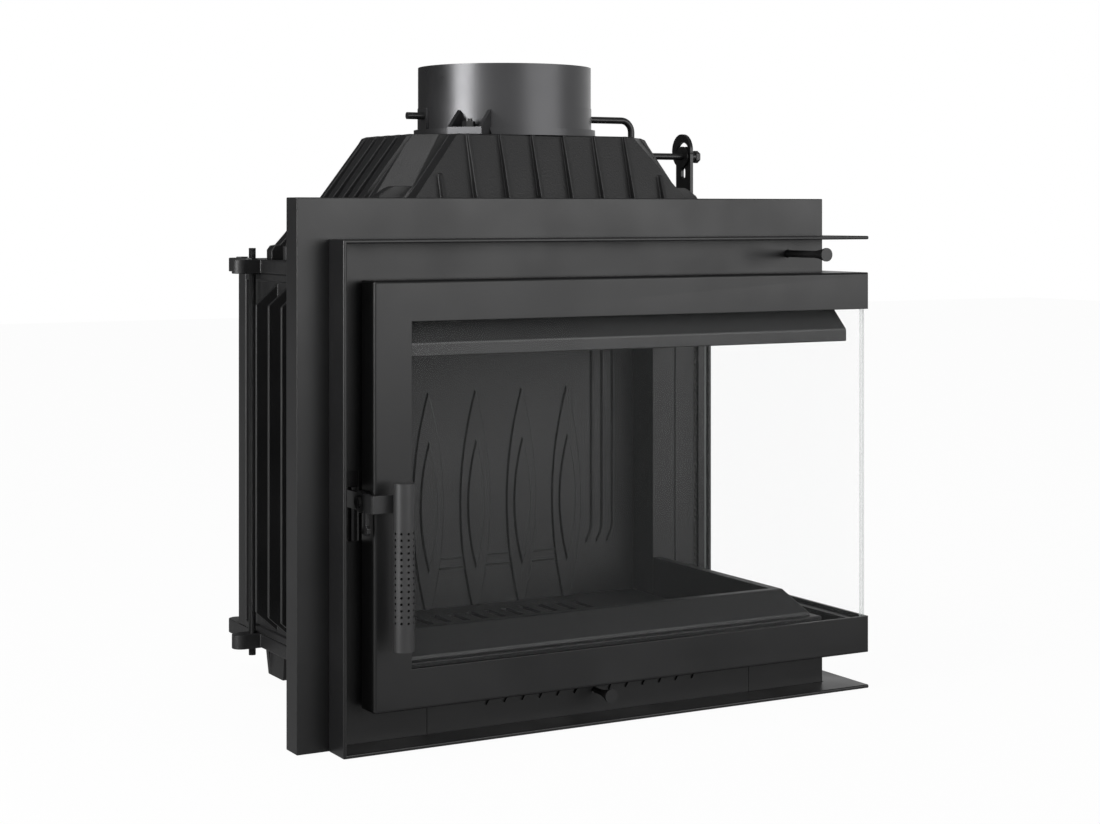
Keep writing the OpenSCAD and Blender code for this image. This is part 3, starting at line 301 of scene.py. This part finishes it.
def plain_mesh(obj):
    """Replaces an object's mesh by what its modifiers make of it."""
    graph = bpy.context.evaluated_depsgraph_get()
    made = bpy.data.meshes.new_from_object(obj.evaluated_get(graph), depsgraph=graph)
    obj.modifiers.clear()
    obj.data = made
    return obj


def own_piece(obj, body):
    """Says which body a piece moves with."""
    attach(obj, body)


def whole_faces(shape):
    """Joins the triangles of flat faces, so that a bevel can run along them undisturbed."""
    bmesh.ops.dissolve_limit(shape, angle_limit=flat_angle, verts=shape.verts,
                             edges=shape.edges)


def skin_area(mesh):
    """Area of a mesh as it will be drawn, triangle by triangle."""
    mesh.calc_loop_triangles()
    return sum(t.area for t in mesh.loop_triangles)


print("skin of the smoke dome:", round(skin_area(nodes["smoke_dome"].data), 3), "square metres")


# %% Helpers for single edges
room_share = 0.45
fold_width = 0.009


def face_reach(face, edge):
    """How far a face extends from one of its edges."""
    start = edge.verts[0].co
    along = (edge.verts[1].co - start).normalized()
    return max((v.co - start).cross(along).length for v in face.verts)


def is_fold(edge):
    """An outer edge with a wide face on both sides."""
    return edge.is_convex and min(face_reach(f, edge) for f in edge.link_faces) > fold_width


def room_beside(edge):
    """Nearly half of the shortest edge at either end: two wider bevels would meet on it."""
    return room_share * min(near.calc_length() for v in edge.verts for near in v.link_edges)


print("a fold has faces wider than", fold_width * 1000, "mm")


# %% Helpers for soft pieces
weld_distance = 2e-6
sharp_turn = math.radians(20)
bevel_segments = 3


def weigh_edges(shape, cut_radius, fold_radius, join):
    """Keeps each sharp edge's radius as a bevel weight, and counts the folds."""
    weight = shape.edges.layers.float.new("bevel_weight_edge")
    folds = 0
    for edge in shape.edges:
        if len(edge.link_faces) != 2 or edge.calc_face_angle() < sharp_turn:
            continue
        radius = cut_radius
        if is_fold(edge):
            radius = fold_radius
            folds += 1
        edge[weight] = (radius if join else min(radius, room_beside(edge))) / fold_radius
    return folds


def rounded(node, cut_radius, fold_radius, join):
    """A rounded copy of a solid and its growth in area. With join, flat faces are made whole
    and Blender limits the bevels. Without it, the room beside each edge limits them."""
    mesh = nodes[node].data.copy()
    shape = bmesh.new()
    shape.from_mesh(mesh)
    bmesh.ops.remove_doubles(shape, verts=shape.verts, dist=weld_distance)
    if join:
        whole_faces(shape)
    folds = weigh_edges(shape, cut_radius, fold_radius, join)
    shape.to_mesh(mesh)
    shape.free()
    obj = bpy.data.objects.new(node + "_soft", mesh)
    scene.collection.objects.link(obj)
    dress(obj, finish_of[node])
    for face in mesh.polygons:
        face.use_smooth = True
    mesh.set_sharp_from_angle(angle=sharp_turn)
    bevel = obj.modifiers.new("edge", "BEVEL")
    bevel.width = fold_radius
    bevel.segments = bevel_segments
    bevel.limit_method = "WEIGHT"
    bevel.use_clamp_overlap = join
    weigh = obj.modifiers.new("flat_faces", "WEIGHTED_NORMAL")
    weigh.keep_sharp = True
    plain_mesh(obj)
    growth = skin_area(obj.data) / skin_area(nodes[node].data)
    print(f"{node}: {folds} folds, {len(obj.data.polygons)} faces, area x {growth:.4f}")
    return obj, growth


def soften(node, cut_radius, fold_radius, join):
    """Puts a rounded copy in a solid's place. Rounding only takes area away, so a copy that
    has grown has a window closed by mistake and is made again from the plain triangles."""
    obj, growth = rounded(node, cut_radius, fold_radius, join)
    if growth > 1.0:
        bpy.data.objects.remove(obj)
        obj, growth = rounded(node, cut_radius, fold_radius, False)
    own_piece(obj, body_of[node])
    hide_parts(node)


print("edges are sharp from", round(math.degrees(sharp_turn)), "degrees")


# %% [markdown]
# ## Sheet pieces
# A cut edge is rounded by about half a millimetre. A fold is rounded by half a millimetre
# to three millimetres, and each piece has its own measure. The frames, which one sees from
# close by, have the largest.

# %% Sheet pieces
sheet_edges = {
    "cover_frame": (0.0005, 0.0026), "trim_frame": (0.0005, 0.0014),
    "lower_panel": (0.0004, 0.0005), "door_frame": (0.0006, 0.0030),
    "glass_wash_strip": (0.0005, 0.0012), "handle_strap": (0.0006, 0.0008),
    "latch_hook": (0.0006, 0.0006), "pull_bracket": (0.0006, 0.0006),
    "latch_catch": (0.0006, 0.0010), "ash_box": (0.0006, 0.0014), "ash_pan": (0.0005, 0.0010),
}
for name, (cut, fold) in sheet_edges.items():
    soften(name, cut, fold, join=True)

# %% [markdown]
# ## Castings
# Edges are rounded by a millimetre or more where there is room, because sand cannot hold a
# sharp one and the pattern has to leave the mould. The back wall has the largest radius: its
# raised leaves show in the dark firebox only by the light that their edges catch.

# %% Castings
cast_edges = {
    "front_casting": 0.0012, "base_plate": 0.0018, "left_wall": 0.0012, "back_wall": 0.0022,
    "rear_column": 0.0015, "top_plate": 0.0018, "legs": 0.0012, "smoke_dome": 0.0012,
    "log_retainer": 0.0014, "grate": 0.001, "smoke_baffle": 0.0015,
}
for name, radius in cast_edges.items():
    soften(name, radius, radius, join=False)


# %% [markdown]
# ## Glass edges
# Only the narrow faces all round a pane are ground; the two broad faces are clear. A pane's
# copy gets both materials, and each face picks one by where it looks.

# %% Panes
def pane(node, thin_axis):
    """A copy of a pane whose narrow faces have the edge's material."""
    obj = bpy.data.objects.new(node + "_pane", nodes[node].data.copy())
    scene.collection.objects.link(obj)
    dress(obj, finishes["ceramic_glass"])
    obj.data.materials.append(glass_edge)
    for face in obj.data.polygons:
        is_broad = abs(face.normal[thin_axis]) > 0.9
        face.material_index = 0 if is_broad else 1
    own_piece(obj, "door")
    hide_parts(node)


pane("front_glass", thin_axis=1)
pane("side_glass", thin_axis=0)
print("panes ready")


# %% [markdown]
# ## Braided door rope
# A door rope is three twisted bundles of yarn, pressed flat into its channel. It could be
# modelled once and bent along the channel, but at the corners it would be sheared. Here it
# is grown along the channel's centre line with Geometry Nodes: the line's corners are
# rounded, and three copies of it wind round it in a flattened helix. The helix needs a
# direction into the channel at every place. That is straight back on the front run and
# straight in on the side run, and it turns between them round the glass corner, which is
# the same as pointing away from the centre of that bend.

# %% Helper for vectors in a tree
def vector(tree, operation, first, second=None, scale=None):
    """The result of one Vector Math node."""
    made = add_node(tree, "ShaderNodeVectorMath", operation=operation)
    feed(tree, first, made.inputs[0])
    if second is not None:
        feed(tree, second, made.inputs[1])
    if scale is not None:
        feed(tree, scale, made.inputs["Scale"])
    return made.outputs["Vector"]


print("vector helper ready")


# %% Rope directions
strand_count = 3


def rope_directions(tree, bend_centre):
    """The directions into the channel and across it, at each point of the line."""
    place = add_node(tree, "GeometryNodeInputPosition").outputs["Position"]
    away = add_node(tree, "ShaderNodeSeparateXYZ")
    feed(tree, vector(tree, "SUBTRACT", place, bend_centre), away.inputs[0])
    inward = feed_all(tree, add_node(tree, "ShaderNodeCombineXYZ"), {
        "X": number(tree, "MAXIMUM", away.outputs["X"], 0.0),
        "Y": number(tree, "MINIMUM", away.outputs["Y"], 0.0)})
    depth = vector(tree, "NORMALIZE", inward.outputs["Vector"])
    along = add_node(tree, "GeometryNodeInputTangent").outputs["Tangent"]
    return depth, vector(tree, "CROSS_PRODUCT", along, depth)


def strand_shift(tree, given, strand, depth, across):
    """How far a strand lies from the line, at each point of it: one step of the helix."""
    share = add_node(tree, "GeometryNodeSplineParameter").outputs["Factor"]
    angle = number(tree, "MULTIPLY", number(tree, "MULTIPLY", share, given["Turns"]), math.tau)
    turned = number(tree, "ADD", angle, strand * math.tau / strand_count)
    sideways = number(tree, "MULTIPLY", number(tree, "COSINE", turned), given["Lay Radius"])
    inwards = number(tree, "MULTIPLY", number(tree, "SINE", turned), given["Lay Radius"])
    inwards = number(tree, "MULTIPLY", inwards, given["Depth Stretch"])
    return vector(tree, "ADD", vector(tree, "SCALE", across, scale=sideways),
                  vector(tree, "SCALE", depth, scale=inwards))


print("strands:", strand_count)


# %% Rope nodes
rope_inputs = {
    "Line": "Geometry", "Strand Radius": "Float", "Lay Radius": "Float", "Depth Stretch": "Float",
    "Turns": "Float", "Corner Radius": "Float", "Step": "Float", "Bend Centre": "Vector",
    "Yarn": "Material",
}
corner_points = 5
strand_sides = 10


def rope_nodes():
    """Three strands that wind round a closed line in a flattened helix."""
    tree = bpy.data.node_groups.new("braided_rope", "GeometryNodeTree")
    for name, kind in rope_inputs.items():
        tree.interface.new_socket(name, in_out="INPUT", socket_type="NodeSocket" + kind)
    tree.interface.new_socket("Rope", in_out="OUTPUT", socket_type="NodeSocketGeometry")
    given = add_node(tree, "NodeGroupInput").outputs
    line = feed_all(tree, add_node(tree, "GeometryNodeMeshToCurve"), {"Mesh": given["Line"]})
    bends = feed_all(tree, add_node(tree, "GeometryNodeFilletCurve", mode="POLY"), {
        "Curve": line.outputs["Curve"], "Radius": given["Corner Radius"],
        "Count": corner_points})
    even = feed_all(tree, add_node(tree, "GeometryNodeResampleCurve", mode="LENGTH"), {
        "Curve": bends.outputs["Curve"], "Length": given["Step"]})
    section = feed_all(tree, add_node(tree, "GeometryNodeCurvePrimitiveCircle", mode="RADIUS"), {
        "Resolution": strand_sides, "Radius": given["Strand Radius"]})
    depth, across = rope_directions(tree, given["Bend Centre"])
    strands = add_node(tree, "GeometryNodeJoinGeometry")
    for strand in range(strand_count):
        wound = feed_all(tree, add_node(tree, "GeometryNodeSetPosition"), {
            "Geometry": even.outputs["Curve"],
            "Offset": strand_shift(tree, given, strand, depth, across)})
        skin = feed_all(tree, add_node(tree, "GeometryNodeCurveToMesh"), {
            "Curve": wound.outputs["Geometry"], "Profile Curve": section.outputs["Curve"]})
        feed(tree, skin.outputs["Mesh"], strands.inputs["Geometry"])
    smooth = feed_all(tree, add_node(tree, "GeometryNodeSetShadeSmooth"), {
        "Geometry": strands.outputs["Geometry"]})
    real = feed_all(tree, add_node(tree, "GeometryNodeRealizeInstances"), {
        "Geometry": smooth.outputs["Geometry"]})
    yarn = feed_all(tree, add_node(tree, "GeometryNodeSetMaterial"), {
        "Geometry": real.outputs["Geometry"], "Material": given["Yarn"]})
    feed_all(tree, add_node(tree, "NodeGroupOutput"), {"Rope": yarn.outputs["Geometry"]})
    return tree


def grow(obj, tree, values):
    """Runs a node tree on an object and keeps the plain mesh."""
    modifier = obj.modifiers.new(tree.name, "NODES")
    modifier.node_group = tree
    for item in tree.interface.items_tree:
        if item.in_out == "INPUT" and item.name in values:
            modifier[item.identifier] = values[item.name]
    plain_mesh(obj)


print("rope inputs:", len(rope_inputs))


# %% Rope path
seal_box = [[f([v.co[k] for v in nodes["door_seal"].data.vertices]) for k in range(3)]
            for f in (min, max)]
seal_half_w = 0.0035
seal_half_d = 0.00485
rope_left = seal_box[0][0] + seal_half_w
rope_right = seal_box[1][0] - seal_half_d
rope_front = seal_box[0][1] + seal_half_d
rope_back = seal_box[1][1] - seal_half_w
rope_low = seal_box[0][2] + seal_half_w
rope_high = seal_box[1][2] - seal_half_w
run = [(rope_left, rope_front, rope_low), (rope_right, rope_front, rope_low),
       (rope_right, rope_back, rope_low), (rope_right, rope_back, rope_high),
       (rope_right, rope_front, rope_high), (rope_left, rope_front, rope_high)]
round_trip = sum((Vector(a) - Vector(b)).length for a, b in zip(run, run[1:] + run[:1]))
print("rope length", round(round_trip, 3), "m")


# %% Rope
corner_radius = 0.004
lay_length = 0.024
rope_mesh = bpy.data.meshes.new("door_rope")
rope_mesh.from_pydata(run, [(i, (i + 1) % len(run)) for i in range(len(run))], [])
rope = bpy.data.objects.new("door_rope", rope_mesh)
scene.collection.objects.link(rope)
grow(rope, rope_nodes(), {
    "Strand Radius": 0.0019, "Lay Radius": 0.00155, "Depth Stretch": 1.9,
    "Turns": float(round(round_trip / lay_length)), "Corner Radius": corner_radius, "Step": 0.002,
    "Bend Centre": (rope_right - corner_radius, rope_front + corner_radius, 0.0),
    "Yarn": finishes["rope_seal"]})
own_piece(rope, "door")
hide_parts("door_seal")
print("rope faces", len(rope.data.polygons))


# %% [markdown]
# ## Room and light
# The insert stands in a white room, and its paint mirrors that room: this is why black
# paint looks charcoal grey here and not black. But such a room is not white all round. Its
# far left end is dark, and that end is what the left flanks and the flue's left edge mirror:
# they go nearly black and set off the bright front. Mirror rays therefore meet a room
# whose brightness depends on where they look, while the camera sees plain white, and diffuse
# surfaces get an even light of less than half that strength.

# %% Helpers for the room
def ray_is(tree, *kinds):
    """1 for any of the named kinds of ray, otherwise 0."""
    rays = add_node(tree, "ShaderNodeLightPath").outputs
    found = rays[kinds[0]]
    for kind in kinds[1:]:
        found = number(tree, "MAXIMUM", found, rays[kind])
    return found


def mixed(tree, share, first, second):
    """A mix of two shaders; share is a socket, and 1 means the second one."""
    mix = feed_all(tree, add_node(tree, "ShaderNodeMixShader"), {
        "Fac": share, 1: first, 2: second})
    return mix.outputs[0]


def white_light(tree, kind, strength):
    """White light from an Emission or a Background node."""
    light = feed_all(tree, add_node(tree, kind), {"Color": (1, 1, 1, 1), "Strength": strength})
    return light.outputs[0]


def faded(tree, value, near, far, near_level, far_level):
    """near_level where the value is near, far_level where it is far, and smooth between."""
    fade = feed_all(tree, add_node(tree, "ShaderNodeMapRange", interpolation_type="SMOOTHSTEP"), {
        "Value": value, "From Min": near, "From Max": far,
        "To Min": near_level, "To Max": far_level})
    return fade.outputs["Result"]


print("room helpers ready")


# %% Floor
floor_seen = 0.96       # share of pure white in what the camera sees
floor_mirrored = 0.30   # brightness of the floor in the metal
floor_half = 8
floor_height = -0.001
floor_corners = [(x * floor_half, y * floor_half, floor_height)
                 for x, y in ((-1, -1), (1, -1), (1, 1), (-1, 1))]
floor_mesh = bpy.data.meshes.new("studio_floor")
floor_mesh.from_pydata(floor_corners, [], [(0, 1, 2, 3)])
floor = bpy.data.objects.new("studio_floor", floor_mesh)
scene.collection.objects.link(floor)
floor_material = bpy.data.materials.new("white_floor")
floor_material.use_nodes = True
tiles = floor_material.node_tree
floor_shader = feed_all(tiles, tiles.nodes["Principled BSDF"], {
    "Base Color": (0.9, 0.9, 0.9, 1), "Roughness": 0.9})
seen = number(tiles, "MULTIPLY", ray_is(tiles, "Is Camera Ray", "Is Transmission Ray"), floor_seen)
for_camera = mixed(tiles, seen, floor_shader.outputs[0],
                   white_light(tiles, "ShaderNodeEmission", 1.0))
for_mirrors = mixed(tiles, ray_is(tiles, "Is Glossy Ray"), for_camera,
                    white_light(tiles, "ShaderNodeEmission", floor_mirrored))
feed_all(tiles, tiles.nodes["Material Output"], {"Surface": for_mirrors})
dress(floor, floor_material)
print("floor ready")

# %% Room
plain_strength = 0.4
dark_end = Vector((-0.55, 0.83, 0.0)).normalized()
world = bpy.data.worlds.new("white_room")
scene.world = world
world.use_nodes = True
room = world.node_tree
plain = feed_all(room, room.nodes["Background"], {
    "Color": (1, 1, 1, 1), "Strength": plain_strength})
look = add_node(room, "ShaderNodeTexCoord").outputs["Generated"]
toward = feed_all(room, add_node(room, "ShaderNodeVectorMath", operation="DOT_PRODUCT"), {
    0: look, 1: dark_end})
upward = feed_all(room, add_node(room, "ShaderNodeSeparateXYZ"), {0: look})
walls = faded(room, toward.outputs["Value"], near=0.30, far=0.75, near_level=1.0, far_level=0.04)
ceiling = faded(room, upward.outputs["Z"], near=0.10, far=0.55, near_level=1.0, far_level=0.22)
for_camera = mixed(room, ray_is(room, "Is Camera Ray", "Is Transmission Ray"), plain.outputs[0],
                   white_light(room, "ShaderNodeBackground", 1.0))
for_mirrors = mixed(room, ray_is(room, "Is Glossy Ray"), for_camera,
                    white_light(room, "ShaderNodeBackground",
                                number(room, "MULTIPLY", walls, ceiling)))
feed_all(room, room.nodes["World Output"], {"Surface": for_mirrors})
print("room ready, dark end towards", tuple(round(v, 2) for v in dark_end))


# %% [markdown]
# ## Lamps
# Three soft boxes light the metal. The one on the left draws the bright band on the flue and
# the sheen on the left edges, the one in front lifts the door and the frames, and a small
# one high on the left reaches the dome.

# %% Lamps
def soft_lamp(name, place, target, size, power):
    """A rectangular lamp that looks at a point; size is its width and height."""
    lamp = bpy.data.lights.new(name, "AREA")
    lamp.shape = "RECTANGLE"
    lamp.size, lamp.size_y = size
    lamp.energy = power
    obj = bpy.data.objects.new(name, lamp)
    scene.collection.objects.link(obj)
    obj.location = place
    obj.rotation_euler = (Vector(target) - Vector(place)).to_track_quat("-Z", "Y").to_euler()


soft_lamp("left_softbox", (-2.8, -0.35, 0.85), target=(0, 0, 0.6), size=(1.2, 0.9), power=56)
soft_lamp("front_softbox", (1.2, -2.8, 0.95), target=(0, 0, 0.45), size=(2.8, 1.3), power=29)
soft_lamp("high_softbox", (-1.3, -0.45, 2.7), target=(0, 0, 0.6), size=(0.9, 0.9), power=14)
print("lamps ready")
